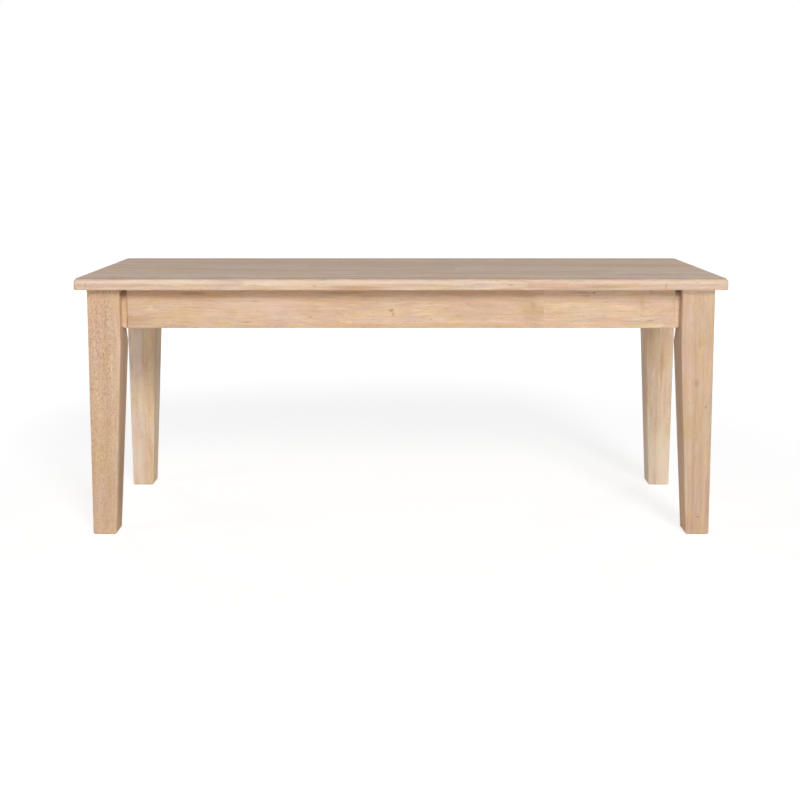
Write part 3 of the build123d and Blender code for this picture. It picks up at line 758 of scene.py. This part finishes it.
chamfer = add_node(nut, "GeometryNodeMeshCone", None, {
    "Vertices": cone_sides, "Radius Top": face_radius, "Radius Bottom": flare, "Depth": size["Thickness"]})
half_down = add_node(nut, "ShaderNodeMath", {"operation": "MULTIPLY"}, {0: size["Thickness"], 1: -0.5})
drop = add_node(nut, "ShaderNodeCombineXYZ", None, {2: half_down})
chamfer = add_node(nut, "GeometryNodeTransform", None, {"Geometry": chamfer, "Translation": drop})
flipped = add_node(nut, "GeometryNodeTransform", None, {"Geometry": chamfer, "Rotation": upside_down})
shape = add_node(nut, "GeometryNodeMeshBoolean", {"operation": "INTERSECT", "solver": "EXACT"}, {
    "Mesh": [prism, chamfer, flipped]})
bore_radius = add_node(nut, "ShaderNodeMath", {"operation": "DIVIDE"}, {0: size["Bore"], 1: 2})
twice = add_node(nut, "ShaderNodeMath", {"operation": "MULTIPLY"}, {0: size["Thickness"], 1: 2})
bore = add_node(nut, "GeometryNodeMeshCylinder", None, {
    "Vertices": bore_sides, "Radius": bore_radius, "Depth": twice})
mouth_radius = add_node(nut, "ShaderNodeMath", {"operation": "MULTIPLY"}, {0: size["Bore"], 1: mouth_part})
mouth = add_node(nut, "GeometryNodeMeshCone", None, {
    "Vertices": bore_sides, "Radius Top": 0, "Radius Bottom": mouth_radius, "Depth": mouth_radius})
below_face = add_node(nut, "ShaderNodeMath", {"operation": "MULTIPLY"}, {
    0: size["Thickness"], 1: -mouth_place_part})
drop = add_node(nut, "ShaderNodeCombineXYZ", None, {2: below_face})
mouth = add_node(nut, "GeometryNodeTransform", None, {"Geometry": mouth, "Translation": drop})
far_mouth = add_node(nut, "GeometryNodeTransform", None, {"Geometry": mouth, "Rotation": upside_down})
shape = add_node(nut, "GeometryNodeMeshBoolean", {"operation": "DIFFERENCE", "solver": "EXACT"}, {
    "Mesh 1": shape, "Mesh 2": [bore, mouth, far_mouth]})
half_up = add_node(nut, "ShaderNodeMath", {"operation": "MULTIPLY"}, {0: size["Thickness"], 1: 0.5})
lift = add_node(nut, "ShaderNodeCombineXYZ", None, {2: half_up})
whole = add_node(nut, "GeometryNodeTransform", None, {"Geometry": shape, "Translation": lift})
placed = add_node(nut, "GeometryNodeGroup", {"node_tree": stand}, {
    "Spots": size["Spots"], "Piece": whole, "Spin": full_turn, "Finish": size["Finish"]})
nut.links.new(placed.outputs[0], result.inputs[0])

# Washer with rounded edges: a closed flat one, or a split one whose ends stand a little apart. It is one
# section swept round its bore.
washer_sides = 64
rounding_steps = 2
washer, given, result = new_group(
    "washer",
    {"Spots": "Geometry", "Width": "Float", "Bore": "Float", "Thickness": "Float", "Split": "Float",
     "Rise": "Float", "Rounding": "Float", "Finish": "Material"},
    {"Washers": "Geometry"}, "GeometryNodeTree")
size = given.outputs
band = add_node(washer, "ShaderNodeMath", {"operation": "SUBTRACT"}, {0: size["Width"], 1: size["Bore"]})
band = add_node(washer, "ShaderNodeMath", {"operation": "DIVIDE"}, {0: band, 1: 2})
middle = add_node(washer, "ShaderNodeMath", {"operation": "ADD"}, {0: size["Width"], 1: size["Bore"]})
middle = add_node(washer, "ShaderNodeMath", {"operation": "DIVIDE"}, {0: middle, 1: 4})
thick = add_node(washer, "ShaderNodeMath", {"operation": "SUBTRACT"}, {0: size["Thickness"], 1: size["Rise"]})
section = add_node(washer, "GeometryNodeCurvePrimitiveQuadrilateral", None, {"Width": band, "Height": thick})
section = add_node(washer, "GeometryNodeFilletCurve", {"mode": "POLY"}, {
    "Curve": section, "Count": rounding_steps, "Radius": size["Rounding"]})
turns = add_node(washer, "ShaderNodeMath", {"operation": "SUBTRACT"}, {0: 1, 1: size["Split"]})
loop = add_node(washer, "GeometryNodeCurveSpiral", None, {
    "Resolution": washer_sides, "Rotations": turns, "Start Radius": middle, "End Radius": middle,
    "Height": size["Rise"]})
whole = add_node(washer, "GeometryNodeCurveToMesh", None, {
    "Curve": loop, "Profile Curve": section, "Fill Caps": True})
half_split = add_node(washer, "ShaderNodeMath", {"operation": "MULTIPLY_ADD"}, {
    0: size["Split"], 1: math.pi, 2: math.pi / 2})
ahead = add_node(washer, "ShaderNodeCombineXYZ", None, {2: half_split})
ahead = add_node(washer, "FunctionNodeEulerToRotation", None, {0: ahead})
half_thick = add_node(washer, "ShaderNodeMath", {"operation": "MULTIPLY"}, {0: thick, 1: 0.5})
lift = add_node(washer, "ShaderNodeCombineXYZ", None, {2: half_thick})
whole = add_node(washer, "GeometryNodeTransform", None, {
    "Geometry": whole, "Translation": lift, "Rotation": ahead})
placed = add_node(washer, "GeometryNodeGroup", {"node_tree": stand}, {
    "Spots": size["Spots"], "Piece": whole, "Finish": size["Finish"]})
washer.links.new(placed.outputs[0], result.inputs[0])

# Where the steel pieces stand, in millimetres, as the CAD model has them. A bolt leaves the flat on its leg's
# inside corner aslant, and washers and nut follow on it, at these distances out of the leg.
slant = math.sqrt(0.5)
corners = [(side_x, side_y) for side_x in (-1, 1) for side_y in (-1, 1)]
leg_flat_x, leg_flat_y, bolt_height = 499.07, 121.07, 413.5
flat_washer_out, spring_washer_out, nut_out = 22.3, 23.9, 25.9


def bolt_spots(out):
    """The place on each corner's bolt at this distance out of the leg, and the way that the bolt points."""
    across = leg_flat_x - out * slant
    back = leg_flat_y - out * slant
    return [((x * across, y * back, bolt_height), (-x * slant, -y * slant, 0)) for x, y in corners]


# Block screws stand in pairs, one above the other: one pair of each block goes into the long apron and one
# into the end apron. Seat screws stand in pairs in the blocks, and two more in the cross rail.
block_screw_heights = (399.5, 427.5)
long_face_x, long_face_y = 463.16, 131
end_face_x, end_face_y = 509, 85.16
block_spots = [((x * long_face_x, y * long_face_y, z), (0, -y, 0))
               for x, y in corners for z in block_screw_heights]
block_spots += [((x * end_face_x, y * end_face_y, z), (-x, 0, 0))
                for x, y in corners for z in block_screw_heights]
seat_screw_height = 409
block_x, block_y, aside = 491.08, 113.08, 14.14
seat_spots = [((x * (block_x + s * aside), y * (block_y - s * aside), seat_screw_height), (0, 0, -1))
              for x, y in corners for s in (-1, 1)]
seat_spots += [((0, y, seat_screw_height), (0, 0, -1)) for y in (-75, 75)]

screw_sizes = {"Diameter": 4, "Root": 2.8, "Pitch": 1.8, "Point": 3, "Head width": 8, "Head height": 2.6,
               "Recess width": 4.4}
steel_pieces = {
    "block_screws": (screw, block_spots, {**screw_sizes, "Length": 25}),
    "seat_screws": (screw, seat_spots, {**screw_sizes, "Length": 45}),
    "hanger_bolts": (bolt, bolt_spots(0), {
        "Diameter": 8, "Entry": 34, "Reach": 38.4, "Wood pitch": 3, "Machine pitch": 1.25, "Point": 5,
        "Bevel": 1}),
    "flat_washers": (washer, bolt_spots(flat_washer_out), {
        "Width": 22, "Bore": 8.4, "Thickness": 1.6, "Split": 0, "Rise": 0, "Rounding": 0.35}),
    "spring_washers": (washer, bolt_spots(spring_washer_out), {
        "Width": 14, "Bore": 8.4, "Thickness": 2, "Split": 0.04, "Rise": 0.2, "Rounding": 0.25}),
    "hex_nuts": (nut, bolt_spots(nut_out), {"Width": 13, "Thickness": 6.5, "Bore": 8.1}),
}
sharp_edge = math.radians(35)
for name, (tree, spots, sizes) in steel_pieces.items():
    mesh = bpy.data.meshes.new(name + "_spots")
    mesh.from_pydata([Vector(place) / metre for place, axis in spots], [], [])
    axes = mesh.attributes.new("axis", "FLOAT_VECTOR", "POINT")
    axes.data.foreach_set("vector", [part for place, axis in spots for part in axis])
    piece = bpy.data.objects.new("detailed_" + name, mesh)
    scene.collection.objects.link(piece)
    modifier = piece.modifiers.new("shape", "NODES")
    modifier.node_group = tree
    for socket in tree.interface.items_tree:
        if socket.in_out == "INPUT" and socket.name != "Spots":
            modifier[socket.identifier] = {**sizes, "Finish": zinc}[socket.name]
    shape = bpy.data.meshes.new_from_object(piece.evaluated_get(bpy.context.evaluated_depsgraph_get()))
    piece.modifiers.remove(modifier)
    shape.set_sharp_from_angle(angle=sharp_edge)
    piece.data = shape
    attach(piece, "root")
    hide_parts(name)
